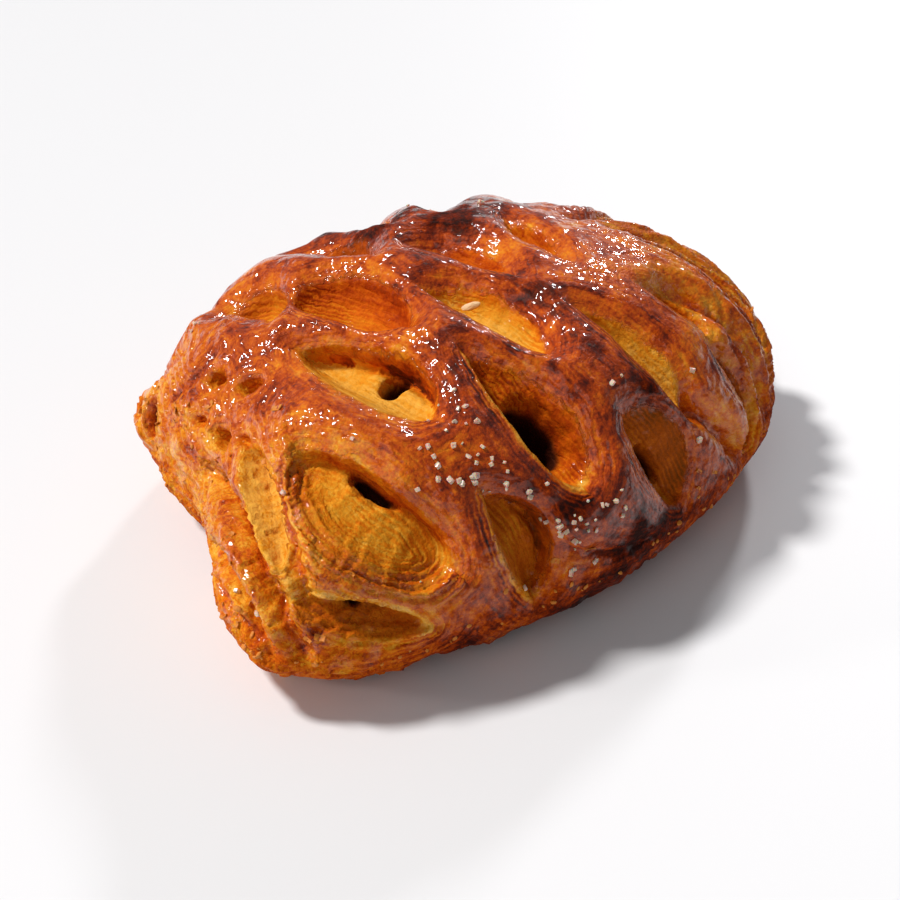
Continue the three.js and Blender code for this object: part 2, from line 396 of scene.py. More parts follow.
def in_line_frame(points, line):
    """For each point: the distance along the line from its middle, and across it to the right, in mm."""
    places, along, across = line
    nearest = np.zeros(len(points), int)
    best = np.full(len(points), np.inf)
    for index, place in enumerate(places):
        gap = ((points - place) ** 2).sum(1)
        closer = gap < best
        best[closer] = gap[closer]
        nearest[closer] = index
    steps = np.linalg.norm(np.diff(places, axis=0), axis=1)
    run = np.concatenate([[0], np.cumsum(steps)])
    offset = points - places[nearest]
    distance_along = run[nearest] - run[-1] / 2 + (offset * along[nearest]).sum(1)
    distance_across = (offset * across[nearest]).sum(1)
    return distance_along, distance_across, run[-1] / 2, across[nearest]


OUTLINE_STEPS = 41


def slit_width(shape, ratio_along, side):
    """A slit's half width at places along it, -1 to 1, on the side "left" or "right"."""
    ratio = np.clip(ratio_along, -1, 1)
    widest = shape["widest"]
    part = np.where(ratio < widest, (ratio - widest) / (1 + widest), (ratio - widest) / (1 - widest))
    point = np.where(ratio < widest, shape["points"][0], shape["points"][1])
    return shape[side] * np.maximum(1 - part**2, 0) ** point


def edge_distance(shape, run, cross, half_length):
    """Distance in mm outside a slit's outline, below 0 inside it."""
    ratio = np.sin(np.linspace(-math.pi / 2, math.pi / 2, OUTLINE_STEPS))
    there = np.stack([ratio * half_length, slit_width(shape, ratio, "right")], axis=1)
    back = np.stack([ratio * half_length, -slit_width(shape, ratio, "left")], axis=1)[::-1]
    outline = np.concatenate([there, back])
    spot = np.stack([run, cross], axis=1)
    distance = np.full(len(run), np.inf)
    for start, end in zip(outline, np.roll(outline, -1, axis=0)):
        step = end - start
        length = max(step @ step, 1e-9)
        part = np.clip((spot - start) @ step / length, 0, 1)
        gap = np.linalg.norm(spot - start - part[:, None] * step, axis=1)
        distance = np.minimum(distance, gap)
    ratio_along = run / half_length
    inside = (np.abs(ratio_along) < 1) & (cross < slit_width(shape, ratio_along, "right"))
    inside &= cross > -slit_width(shape, ratio_along, "left")
    return np.where(inside, -distance, distance)


# %% [markdown]
# ## Uneven dough
# Nothing baked is smooth. This helper gives soft random swellings of any size, always the same ones, for
# shaping the dough and, later, for how brown each spot is.


# %% Soft random swellings
def swellings(points, size, seed):
    """Smooth random values from -1 to 1, one swelling about every size mm."""
    spot = points / size + np.array([17.31, 9.17, 4.73]) * seed
    cell = np.floor(spot).astype(np.int64)
    part = spot - cell
    part = part * part * (3 - 2 * part)
    total = np.zeros(len(points))
    for corner in range(8):
        step = np.array([corner & 1, (corner >> 1) & 1, (corner >> 2) & 1])
        key = (cell + step) @ np.array([374761393, 668265263, 2147483647]) + seed * 1013904223
        key = (key ^ (key >> 13)) * 1274126177 & 0x7FFFFFFF
        key = (key ^ (key >> 16)) & 0xFFFF
        weight = np.prod(np.where(step == 1, part, 1 - part), axis=1)
        total += weight * (key / 32767.5 - 1)
    return total


# %% [markdown]
# ## The skin
# The skin starts as a ball of even triangles. Each corner is moved out to its place on the dome and then
# pressed in by the slits, as a sculptor would with a brush, because no operator makes a lattice of leaning
# slits that run into rounded strands. What each corner knows at this point, such as how deep in a slit it
# lies, is kept for the browning and for the painted light and shade.

# %% A ball moved out to the dome
BALL_SPLITS = 8
bpy.ops.object.select_all(action="DESELECT")
bpy.ops.mesh.primitive_ico_sphere_add(subdivisions=BALL_SPLITS, radius=1.0)
pastry = bpy.context.object
pastry.name = "pastry_skin"


def mesh_vectors(mesh, kind="co"):
    values = np.empty(len(mesh.vertices) * 3, np.float32)
    mesh.vertices.foreach_get(kind, values)
    return values.reshape(-1, 3).astype(float)


def set_places(mesh, places):
    mesh.vertices.foreach_set("co", places.astype(np.float32).ravel())
    mesh.update()


ball = mesh_vectors(pastry.data)
ball /= np.linalg.norm(ball, axis=1, keepdims=True)
bare = dome_places(np.arctan2(ball[:, 1], ball[:, 0]), ball[:, 2], np.hypot(ball[:, 0], ball[:, 1]))
set_places(pastry.data, bare)
outwards = mesh_vectors(pastry.data, "normal")
print(len(bare), "corners on the dome")

# %% Press the slits in
NEAR = 8.0  # mm, how far from its edge a slit has any effect
NARROW = 2.7  # mm, the right half width up to which a slit leaves its rim as it is

# What each corner knows: how far it is pressed in, raised and moved sideways, what kind of dough it is, and
# where shade is painted.
drop = np.zeros(len(bare))
sideways = np.zeros_like(bare)
KNOWN = (
    "inside", "hole", "black_from", "ochre", "lip", "crevice", "steps", "wall", "floor_bake", "near_rim",
    "line",
)
known = {name: np.zeros(len(bare)) for name in KNOWN}
nearest_edge = np.full(len(bare), 99.0)
edge_wobble = 0.30 * swellings(bare, 5.0, 11) + 0.18 * swellings(bare, 2.2, 12)
for name, shape in SLITS.items():
    line = slit_line(shape["through"])
    run_all, cross_all, half_length, across_all = in_line_frame(bare, line)
    around = np.linalg.norm(bare - line[0][SAMPLES_PER_SLIT // 2], axis=1)
    near = np.nonzero(around < half_length + max(shape["left"], shape["right"]) * 0.5 + NEAR)[0]
    run = run_all[near]
    cross = cross_all[near]
    edge = edge_distance(shape, run, cross, half_length)
    edge = edge + edge_wobble[near] * min(1.0, shape["right"] / 4)
    ratio_along = run / half_length
    right_width = slit_width(shape, ratio_along, "right")
    width = np.where(cross > 0, right_width, slit_width(shape, ratio_along, "left"))
    ratio_across = np.clip(cross / np.maximum(width, 0.6), -1, 1)
    from_deepest = ratio_across - shape["deepest"]
    to_right = from_deepest > 0
    reach = np.where(to_right, 1 - shape["deepest"], 1 + shape["deepest"])
    steepness = np.where(to_right, shape["steep_right"], shape["steep_left"])
    floor_share = 1 - np.abs(from_deepest / reach) ** steepness
    ratio_along = np.clip(ratio_along, -1, 1)
    depth = shape["depth"] * (1 - shape["end_rise"] * smooth(-ratio_along, -0.1, 1.0))
    depth = depth * (1 - 0.35 * ratio_along**4)
    rim = shape["rim"] * (0.75 + 0.35 * swellings(bare[near], 9.0, 15))
    rim = rim * (1 - (1 - shape["left_rim"]) * smooth(-ratio_across, 0.1, 0.7))
    inner = rim + (np.maximum(depth, rim + 0.5) - rim) * floor_share * smooth(-edge, 0, 1.3)
    inner -= shape["bulge"] * smooth(-edge, 1.0, 4.0) * (1 - ratio_along**2)
    under = 1 if shape["undercut"] >= 0 else -1
    in_trench = smooth(ratio_across * under, 0.5, 0.85) * (1 - smooth(np.abs(ratio_along), 0.7, 0.98))
    in_trench = in_trench * smooth(-edge, 0.0, 0.7)
    inner += shape["trench"] * in_trench
    outer = rim * (1 - np.clip(edge / shape["shoulder"], 0, 1)) ** 2
    slit_drop = np.where(edge < 0, inner, outer)
    within = smooth(-edge, -0.3, 1.0)
    if shape["hole"]:
        hole_along, hole_across, hole_radius, stretch, hole_depth, black_from = shape["hole"]
        away = np.hypot(
            (run - hole_along * half_length) / stretch, cross - hole_across * shape["right"]
        )
        away = away + 0.7 * swellings(bare[near], 2.4, 13)
        pit = (1 - smooth(away, hole_radius * 0.65, hole_radius)) * (edge < 0)
        slit_drop = slit_drop + pit * hole_depth * smooth(-edge, 0.2, 1.0)
        by_hole = (1 - smooth(away, hole_radius + 0.8, hole_radius + 1.6)) * (edge < 0.8)
        known["hole"][near] = np.maximum(known["hole"][near], by_hole)
        known["black_from"][near] = np.where(by_hole > 0, black_from, known["black_from"][near])
    drop[near] = (drop[near] ** 3 + slit_drop**3) ** (1 / 3)
    # Painted shade: where a trench or an undercut lies, the floor is later painted dark.
    crevice = max(min(1, shape["trench"] / 4), 0.5 * (shape["undercut"] != 0)) * in_trench
    wall_share = np.where(to_right, 1 - floor_share, 0) * within
    steps_here = np.exp(-(((edge + 1.0) / 3.6) ** 2)) * smooth(-ratio_across * under, -0.3, 0.5)
    near_rim = np.exp(-(((edge - 1.2) / 1.6) ** 2)) * smooth(-ratio_across, 0.1, 0.9)
    for key, value in (
        ("inside", within),
        ("ochre", shape["ochre"] * within),
        ("crevice", crevice),
        ("steps", shape["steps"] * steps_here),
        ("wall", wall_share),
        ("near_rim", near_rim * (shape["right"] > NARROW)),
    ):
        known[key][near] = np.maximum(known[key][near], value)
    along_lines = edge if shape["steps"] else cross
    known["line"][near] = np.where(within > 0.02, along_lines, known["line"][near])
    # The floor's colour is its browning and painted shade; the far wall is painted darker, partly browner
    # crust and partly the painted shade under the far strand.
    floor_bake = shape["brown"] + shape["wall_brown"] * wall_share**0.6
    known["floor_bake"][near] = np.where(within > 0.02, floor_bake, known["floor_bake"][near])
    if shape["lip"]:
        paleness, lip_side = shape["lip"]
        on_side = np.maximum(smooth(ratio_across * lip_side, 0.0, 0.7), smooth(ratio_along, 0.8, 0.95))
        pale = paleness * on_side * np.exp(-(((edge - 0.1) / 0.6) ** 2))
        known["lip"][near] = np.maximum(known["lip"][near], pale)
    nearest_edge[near] = np.minimum(nearest_edge[near], edge)
    side = smooth(ratio_across * under, 0.2, 0.85) * smooth(-edge, 0.2, 1.6)
    sideways[near] += across_all[near] * (shape["undercut"] * side)[:, None]
print("deepest slit:", round(drop.max(), 1), "mm")

# %% Press the creases in and raise the swellings
crease_edge = np.full(len(bare), 99.0)
crease_drop = np.zeros(len(bare))
crease_line = np.zeros(len(bare))
for through, width, depth in CREASES.values():
    run, cross, half_length, across = in_line_frame(bare, slit_line(through))
    away = np.hypot(cross + edge_wobble, np.maximum(np.abs(run) - half_length, 0) * 1.3)
    fade = 1 - smooth(np.abs(run), half_length * 0.6, half_length * 1.25)
    crease_drop = np.maximum(crease_drop, fade * depth * (1 - np.clip(away / width, 0, 1)) ** 1.7)
    crease_line = np.maximum(crease_line, fade * np.exp(-((away / 0.8) ** 2)))
    crease_edge = np.minimum(crease_edge, away)
raised = np.zeros(len(bare))
for bearing, rise, radius, height in KNOBS:
    away = np.linalg.norm(bare - dome_place(bearing, rise), axis=1)
    raised += height * np.exp(-((away / radius) ** 2) * 2)
raised += 1.7 * smooth(bare[:, 2], 16, 40)
print("deepest crease:", round(crease_drop.max(), 1), "mm")

# %% Shape the skin
above_base = smooth(bare[:, 2], 0.3, 3.5)
foot = np.exp(-(((bare[:, 2] - 3.0) / 3.0) ** 2))
lumps = 0.65 * swellings(bare, 15, 1) + 0.4 * swellings(bare, 6.5, 2)
ragged = foot * (0.8 * swellings(bare, 4.0, 3) + 0.5 * swellings(bare, 1.9, 4) + 0.3)
height_change = -drop - crease_drop * (1 - known["inside"]) + raised + lumps
pressed = bare + outwards * (height_change * above_base + ragged * smooth(bare[:, 2], 0.0, 1.2))[:, None]
pressed += sideways
pressed[:, 2] = np.maximum(pressed[:, 2], 0)
set_places(pastry.data, pressed)

# %% Even out the triangles
VOXEL = 0.48
remesh = pastry.modifiers.new("even_triangles", "REMESH")
remesh.mode = "VOXEL"
remesh.voxel_size = VOXEL
bpy.ops.object.modifier_apply(modifier=remesh.name)
print("the skin has", len(pastry.data.vertices), "corners and", len(pastry.data.polygons), "faces")


# %% What the nearest old corner knew
def place_tree(places):
    """A tree that finds the nearest of these places."""
    finder = kdtree.KDTree(len(places))
    for index, place in enumerate(places):
        finder.insert(place, index)
    finder.balance()
    return finder


old_corners = place_tree(pressed)


def nearest_known(new_places):
    """For each new place, the index of the nearest old corner."""
    return np.array([old_corners.find(place)[1] for place in new_places])


# %% Layers, blisters and wrinkles
LAYER_PITCH = 2.0  # mm from one layer's edge to the next
skin = mesh_vectors(pastry.data)
skin_out = mesh_vectors(pastry.data, "normal")
nearest = nearest_known(skin)
layer = nearest_edge[nearest] - 0.5 * drop[nearest]
layer += 0.9 * swellings(skin, 8.0, 21) + 0.35 * swellings(skin, 3.0, 28)
right_end = smooth(bare[nearest, 0], 22, 48)
low_side = 1 - smooth(bare[nearest, 2], 6, 20)
layered = np.maximum(known["steps"][nearest], np.maximum(right_end * 0.5, low_side * 0.4))
terraces = np.mod(layer / LAYER_PITCH, 1)
terraces = smooth(terraces, 0.0, 0.7) - smooth(terraces, 0.7, 1.0) - 0.5
left_end = smooth(-bare[nearest, 0], 28, 50)
fine = 0.09 * swellings(skin, 2.4, 22) + 0.06 * swellings(skin, 1.3, 23)
blisters = np.maximum(swellings(skin, 3.2, 24) - 0.35, 0) * 0.6
coarse = known["ochre"][nearest] * (0.3 * swellings(skin, 2.4, 26))
relief = 0.9 * terraces * layered + coarse + fine * (1 - 0.6 * known["wall"][nearest])
relief += blisters * (0.2 + left_end)
flaky = np.mod(skin[:, 2] * 0.5 + 1.6 * swellings(skin, 5.0, 25), 1)
relief += left_end * 0.5 * (flaky - 0.5)
relief *= smooth(skin[:, 2], 0.1, 1.0)
skin = skin + skin_out * relief[:, None]
skin[:, 2] = np.maximum(skin[:, 2], 0)
set_places(pastry.data, skin)

# %% Thin out what is flat
MOST_TRIANGLES = 192000
thin = pastry.modifiers.new("thin_out", "DECIMATE")
thin.ratio = MOST_TRIANGLES / (2 * len(pastry.data.polygons))
bpy.ops.object.modifier_apply(modifier=thin.name)
skin = mesh_vectors(pastry.data)
nearest = nearest_known(skin)
print("thinned to", len(pastry.data.vertices), "corners and", len(pastry.data.polygons), "faces")

# %% Browning, with painted light and shade
skin_bare = bare[nearest]
skin_known = {name: values[nearest] for name, values in known.items()}
rise = (skin_bare[:, 2] - GIRTH_HEIGHT) / (HEIGHT - GIRTH_HEIGHT)
high_strand = smooth(nearest_edge[nearest], 0.3, 3.5)
left_end = smooth(-skin_bare[:, 0], 28, 52)
right_end = smooth(skin_bare[:, 0], 28, 55)
bake = 0.45 + 0.08 * smooth(rise, 0.1, 0.8) + 0.13 * high_strand
bake += 0.15 * swellings(skin_bare, 12, 5) + 0.12 * swellings(skin_bare, 4, 6)
# Darker low down all round, and low on the side away from the window darker still, which is painted shade.
bake += 0.06 * (1 - smooth(skin_bare[:, 2], 8, 26))
bake += 0.20 * (1 - smooth(skin_bare[:, 2], 8, 26)) * smooth(skin_bare @ np.array([0.56, -0.83, 0]), 10, 40)
for bearing, rise_degrees, radius, amount in SCORCHED:
    away = np.linalg.norm(skin_bare - dome_place(bearing, rise_degrees), axis=1)
    away = away * (1 + 0.25 * swellings(skin_bare, 3.5, 7))
    bake += amount * np.exp(-((away / radius) ** 2))
# Paler at the left end and on the right half: painted light, standing in for the light that falls there.
bake -= 0.24 * left_end + 0.17 * smooth(skin_bare[:, 0], 8, 40)
# Dark lines along the creases and just outside the near rims of the slits: partly browning, partly painted
# shade.
bake += 0.30 * crease_line[nearest] - 0.05 * crease_drop[nearest] + 0.10 * skin_known["near_rim"]
floor_bake = skin_known["floor_bake"] + 0.07 * swellings(skin_bare, 4, 8)
# In the crevices the floor is painted dark brown as painted shade; where its layers step it is a little
# browner.
floor_bake = floor_bake + (0.85 - floor_bake) * skin_known["crevice"] + 0.16 * skin_known["steps"]
bake = bake + (floor_bake - bake) * skin_known["inside"]
bake = bake * (1 - skin_known["lip"]) + 0.06 * skin_known["lip"]
bake = np.clip(bake, 0.01, 0.92)
bare_dome = place_tree(bare)
depth_there = np.array([bare_dome.find(place)[2] for place in skin])
# Painted shade: deep in the holes the skin is painted near black, from this depth down.
dark = skin_known["hole"] * smooth(depth_there - skin_known["black_from"], 0.0, 2.4)
glaze = 1 - 0.92 * skin_known["inside"] * (1 - 0.8 * skin_known["steps"])
glaze *= (1 - 0.25 * left_end) * (1 - 0.3 * right_end)
glaze *= 0.18 + 0.82 * smooth(skin_bare[:, 2], 8, 24)
glaze *= 1 - 0.8 * smooth(bake, 0.72, 0.9)

# %% Keep it on the skin for the finish
crease_near = crease_edge[nearest] < nearest_edge[nearest]
layer = np.where(crease_near, crease_edge[nearest], nearest_edge[nearest])
layer = np.where(skin_known["inside"] > 0.3, skin_known["line"], layer) - 0.3 * drop[nearest]
low_side = 1 - smooth(skin_bare[:, 2], 6, 20)
layered = np.maximum(skin_known["steps"], 0.6 * skin_known["inside"])
layered = np.maximum(layered, np.maximum(right_end * 0.7, low_side * 0.3))
layered = np.maximum(layered, 0.9 * skin_known["near_rim"])
layered *= 0.25 + 0.75 * smooth(swellings(skin_bare, 8, 9), -0.3, 0.5)
set_places(pastry.data, (skin + shift) * MM)
flaky_share = np.maximum(np.maximum(left_end, 0.7 * low_side), 0.5 * right_end)
flaky_share = np.maximum(flaky_share, 0.6 * skin_known["inside"] * skin_known["ochre"])
for name, values in (
    ("bake", bake),
    ("inside", skin_known["inside"]),
    ("ochre", skin_known["ochre"]),
    ("dark", dark),
    ("layer", layer),
    ("layered", layered * (1 - dark)),
    ("glaze", glaze),
    ("flaky", np.maximum(flaky_share, 0.12)),
):
    attribute = pastry.data.attributes.new(name, "FLOAT", "POINT")
    attribute.data.foreach_set("value", values.astype(np.float32))
pastry.data.shade_smooth()

# %% [markdown]
# ## The crust's finish
# Egg wash and sugar brown to a clear caramel. It is darkest and shiniest on the tops of the strands and pale
# and dull on the floors of the slits. The material reads how brown each spot is from the skin, which also
# holds painted light and painted shade, mottles it, draws the layers as fine lines where they show, turns
# the deepest holes near black as painted shade, and breaks up the shine with fine wrinkles.

# %% Helpers for the nodes
def new_finish(name):
    """A new material, its nodes, its shader and the place that its patterns read."""
    finish = bpy.data.materials.new(name)
    finish.use_nodes = True
    nodes = finish.node_tree.nodes
    where = nodes.new("ShaderNodeTexCoord").outputs["Object"]
    return finish, finish.node_tree, nodes["Principled BSDF"], where


crust, tree, shader, place = new_finish("crust")


def node(kind, **settings):
    """A new node with its settings."""
    made = tree.nodes.new(kind)
    for key, value in settings.items():
        setattr(made, key, value)
    return made


def join(source_socket, target_socket):
    tree.links.new(source_socket, target_socket)


def number(operation, first, second=None, third=None):
    """A Math node on sockets or plain numbers."""
    made = node("ShaderNodeMath", operation=operation)
    for socket, value in zip(made.inputs, (first, second, third)):
        if value is None:
            continue
        if isinstance(value, (int, float)):
            socket.default_value = value
        else:
            join(value, socket)
    return made.outputs[0]


def read(name):
    """The value of one of the skin's attributes."""
    return node("ShaderNodeAttribute", attribute_name=name).outputs["Fac"]


def blend_colour(factor, first, second):
    """A colour between two, each a socket or plain numbers."""
    made = node("ShaderNodeMix", data_type="RGBA")
    join(factor, made.inputs[0])
    for socket, value in zip((made.inputs[6], made.inputs[7]), (first, second)):
        if isinstance(value, tuple):
            socket.default_value = (*value, 1)
        else:
            join(value, socket)
    return made.outputs[2]


def node_clamp(value):
    """A value held between 0 and 1."""
    made = node("ShaderNodeClamp")
    join(value, made.inputs[0])
    return made.outputs[0]


def mottle(size_mm, detail=3.0, roughness=0.55):
    """Random values with blobs about this big."""
    made = node("ShaderNodeTexNoise")
    made.inputs["Scale"].default_value = 1000 / size_mm
    made.inputs["Detail"].default_value = detail
    made.inputs["Roughness"].default_value = roughness
    join(place, made.inputs["Vector"])
    return made.outputs["Fac"]


def streaks(width_mm, length_mm, detail=2.0):
    """Random streaks that follow the edges of the slits, about this wide and this long."""
    turned = node("ShaderNodeCombineXYZ")
    join(number("DIVIDE", read("layer"), width_mm), turned.inputs[0])
    moved = node("ShaderNodeVectorMath", operation="MULTIPLY_ADD")
    join(place, moved.inputs[0])
    moved.inputs[1].default_value = (1000 / length_mm,) * 3
    join(turned.outputs[0], moved.inputs[2])
    made = node("ShaderNodeTexNoise")
    made.inputs["Scale"].default_value = 1.0
    made.inputs["Detail"].default_value = detail
    join(moved.outputs[0], made.inputs["Vector"])
    return made.outputs["Fac"]


# %% How brown each spot is, with painted light and shade
broad = mottle(5.0)
middling = mottle(1.7, 4.0, 0.65)
freckles = mottle(0.55, 2.0)
uneven = number("MULTIPLY_ADD", broad, 4.0, number("MULTIPLY", middling, 2.0))
LINE_PITCH = 0.95  # mm from one fine line to the next
layer_lines = number("SINE", number("MULTIPLY_ADD", read("layer"), 2 * math.pi / LINE_PITCH, uneven))
layer_marks = number("MULTIPLY", layer_lines, read("layered"))
fibres = streaks(0.9, 6.0)
blotches = 0.0
for pattern, share in ((fibres, 0.6), (broad, 0.6), (middling, 0.65), (freckles, 0.35)):
    blotches = number("MULTIPLY_ADD", number("SUBTRACT", pattern, 0.5), share, blotches)
evenness = number("MULTIPLY_ADD", read("inside"), -0.5, 1.0)
brown = number("MULTIPLY_ADD", blotches, evenness, read("bake"))
brown = number("MULTIPLY_ADD", layer_marks, 0.17, brown)
peeling = number("MULTIPLY", mottle(5.5, 4.0, 0.6), 11.0)
peel_edge = number("FRACT", peeling)
flaky = read("flaky")
brown = number("MULTIPLY_ADD", number("MULTIPLY", number("SUBTRACT", peel_edge, 0.5), flaky), 0.20, brown)

ramp = node("ShaderNodeValToRGB")
STOPS = [
    (0.00, (0.84, 0.42, 0.060)),
    (0.14, (0.76, 0.31, 0.020)),
    (0.30, (0.68, 0.19, 0.006)),
    (0.46, (0.58, 0.105, 0.003)),
    (0.62, (0.38, 0.044, 0.002)),
    (0.80, (0.140, 0.012, 0.002)),
    (1.00, (0.022, 0.004, 0.004)),
]
while len(ramp.color_ramp.elements) < len(STOPS):
    ramp.color_ramp.elements.new(0.5)
for element, (position, colour) in zip(ramp.color_ramp.elements, STOPS):
    element.position = position
    element.color = (*colour, 1)
join(brown, ramp.inputs["Fac"])
ochre_share = number("MULTIPLY", read("ochre"), 0.6)
colour = blend_colour(ochre_share, ramp.outputs["Color"], (0.36, 0.115, 0.006))
# Painted shade: the deep holes are painted near black.
colour = blend_colour(read("dark"), colour, (0.040, 0.007, 0.003))
join(colour, shader.inputs["Base Color"])

# %% Shine
puddles = mottle(3.2, 3.0, 0.6)
wet = number("MULTIPLY_ADD", number("SUBTRACT", puddles, 0.5), 2.2, read("glaze"))
wet = node_clamp(number("MULTIPLY", number("SUBTRACT", wet, 0.25), 2.0))
rough = number("SUBTRACT", 0.68, number("MULTIPLY", wet, 0.25))
join(rough, shader.inputs["Roughness"])
join(number("MULTIPLY", wet, 0.9), shader.inputs["Coat Weight"])
shader.inputs["Coat Roughness"].default_value = 0.09
shader.inputs["Coat IOR"].default_value = 1.42
shader.inputs["Specular IOR Level"].default_value = 0.1
shader.inputs["Specular Tint"].default_value = (1.0, 0.55, 0.25, 1)


# %% Fine relief
def bumps(height, distance_mm, strength=1.0):
    """A normal from a height, this many millimetres high."""
    made = node("ShaderNodeBump")
    made.inputs["Strength"].default_value = strength
    made.inputs["Distance"].default_value = distance_mm * MM
    join(height, made.inputs["Height"])
    return made.outputs["Normal"]


def bubbles(size_mm):
    """Small domes about this big, 0 to 1 high."""
    made = node("ShaderNodeTexVoronoi", feature="SMOOTH_F1")
    made.inputs["Scale"].default_value = 1000 / size_mm
    made.inputs["Smoothness"].default_value = 0.4
    join(place, made.inputs["Vector"])
    return number("SUBTRACT", 1.0, number("MULTIPLY", made.outputs["Distance"], made.outputs["Distance"]))


wrinkles = mottle(2.6, 1.5, 0.45)
crust_height = number("MULTIPLY_ADD", mottle(2.6, 4.0, 0.6), 1.6, fibres)
crust_height = number("MULTIPLY_ADD", layer_marks, 0.16, crust_height)
peel_height = number("MULTIPLY", number("FLOOR", peeling), 0.28)
crust_height = number("MULTIPLY_ADD", peel_height, flaky, crust_height)
join(bumps(crust_height, 0.45), shader.inputs["Normal"])
glaze_height = number("MULTIPLY_ADD", bubbles(1.9), 0.4, wrinkles)
glaze_height = number("MULTIPLY_ADD", streaks(1.7, 7.0, 1.0), 0.7, glaze_height)
glaze_height = number("MULTIPLY_ADD", layer_marks, 0.12, glaze_height)
join(bumps(glaze_height, 0.62), shader.inputs["Coat Normal"])
pastry.data.materials.append(crust)
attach(pastry, "root")
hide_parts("pastry")

# %% [markdown]
# ## Coarse sugar
# Before baking, coarse sugar was strewn over the glaze. It lies where the glaze held it, mostly on the front
# of the middle strands. One crystal is a small block with its corners cut off. It is copied, and each copy
# is turned, stretched and set on the crust, found by looking straight in from outside the dome.

# %% One crystal
CRYSTAL = 1.0  # mm
bpy.ops.object.select_all(action="DESELECT")
bpy.ops.mesh.primitive_cube_add(size=CRYSTAL * MM)
crystal = bpy.context.object
crystal.name = "sugar"
bpy.ops.object.mode_set(mode="EDIT")
bpy.ops.mesh.select_all(action="SELECT")
bpy.ops.mesh.bevel(offset=0.13 * CRYSTAL * MM, segments=1, affect="EDGES")
bpy.ops.object.mode_set(mode="OBJECT")
dice = np.random.default_rng(7)
corners = mesh_vectors(crystal.data)
set_places(crystal.data, corners + dice.normal(0, 0.07 * CRYSTAL * MM, corners.shape))
print("one crystal has", len(crystal.data.polygons), "faces")

# %% Where the sugar lies
crust_tree = BVHTree.FromObject(pastry, bpy.context.evaluated_depsgraph_get())
dome_heart = Vector((shift + np.array([0, 0, HEART_HEIGHT])) * MM)
STAND_OFF = 0.01


def on_crust(bearing, rise):
    """The place on the crust at a bearing and a rise, the way it faces and its depth below the bare dome."""
    outside = Vector((dome_place(bearing, rise) + shift) * MM)
    inwards = (dome_heart - outside).normalized()
    place_found, facing, _, distance = crust_tree.ray_cast(outside - inwards * STAND_OFF, inwards)
    return place_found, facing, (distance or 1.0) - STAND_OFF


# The sugar lies in runs along the strands. Each goes from one bearing and rise to another, and has so many
# crystals, spread so many degrees to the sides.
SUGAR_RUNS = [
    ((230, 60), (236, 40), 22, 4.0),
    ((238, 42), (262, 15), 34, 4.0),
    ((262, 32), (270, 15), 14, 4.0),
    ((200, 38), (215, 52), 6, 4.0),
    ((200, 10), (230, 20), 7, 3.0),
    ((150, 15), (145, 40), 4, 3.0),
    ((255, 5), (300, 15), 6, 4.0),
    ((280, 50), (330, 30), 5, 6.0),
    ((30, 60), (60, 20), 8, 12.0),
    ((95, 40), (60, 20), 6, 12.0),
]
DEEPEST_SUGAR = 0.003  # metres below the bare dome, past which sugar is left out
SUGAR_LIFT = 0.00015


def copy_onto(model, place_found, facing, size, turn):
    """A copy of a model with its own mesh, set on the crust."""
    copy = bpy.data.objects.new(model.name, model.data.copy())
    bpy.context.scene.collection.objects.link(copy)
    stand = facing.to_track_quat("Z", "Y") @ turn
    copy.data.transform(Matrix.LocRotScale(place_found, stand, size))
    return copy


grains = []
for start, end, count, spread in SUGAR_RUNS:
    for part in dice.uniform(0, 1, count):
        bearing, rise_degrees = (1 - part) * np.array(start) + part * np.array(end)
        off_bearing, off_rise = dice.normal(0, spread, 2)
        place_found, facing, depth = on_crust(bearing + off_bearing, max(4, rise_degrees + off_rise * 0.7))
        turn = Quaternion(Vector(dice.normal(0, 1, 3)).normalized(), dice.uniform(0, 3))
        size = Vector(dice.uniform(0.6, 1.5, 3)) * dice.uniform(0.34, 0.85)
        if place_found is not None and depth < DEEPEST_SUGAR:
            grains.append(copy_onto(crystal, place_found + facing * SUGAR_LIFT, facing, size, turn))
bpy.data.objects.remove(crystal)


def join_copies(copies, name):
    """One object made of many copies."""
    bpy.ops.object.select_all(action="DESELECT")
    for copy in copies:
        copy.select_set(True)
    bpy.context.view_layer.objects.active = copies[0]
    bpy.ops.object.join()
    copies[0].name = name
    return copies[0]


grain_count = len(grains)
sugar = join_copies(grains, "sugar")
print(grain_count, "crystals")

# %% Sugar's finish
sugar_finish, tree, shader, place = new_finish("sugar")
sugar_colour = blend_colour(mottle(1.5), (0.95, 0.52, 0.33), (1.0, 0.78, 0.66))
join(sugar_colour, shader.inputs["Base Color"])
shader.inputs["Roughness"].default_value = 0.22
shader.inputs["Transmission Weight"].default_value = 0.3
shader.inputs["Subsurface Weight"].default_value = 0.7
shader.inputs["Subsurface Scale"].default_value = 0.001
shader.inputs["IOR"].default_value = 1.54
sugar.data.materials.append(sugar_finish)
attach(sugar, "root")

# %% [markdown]
# ## Flakes and crumbs
# Where the layers were cut, thin flakes stand off the crust, most of them at the left end, and crumbs hang
# on the ragged edge round the base. A flake is a small sheet, curled and given a thickness. A crumb is a
# rough lump. Both are copied like the sugar. One paler crumb lies in a slit on the top.

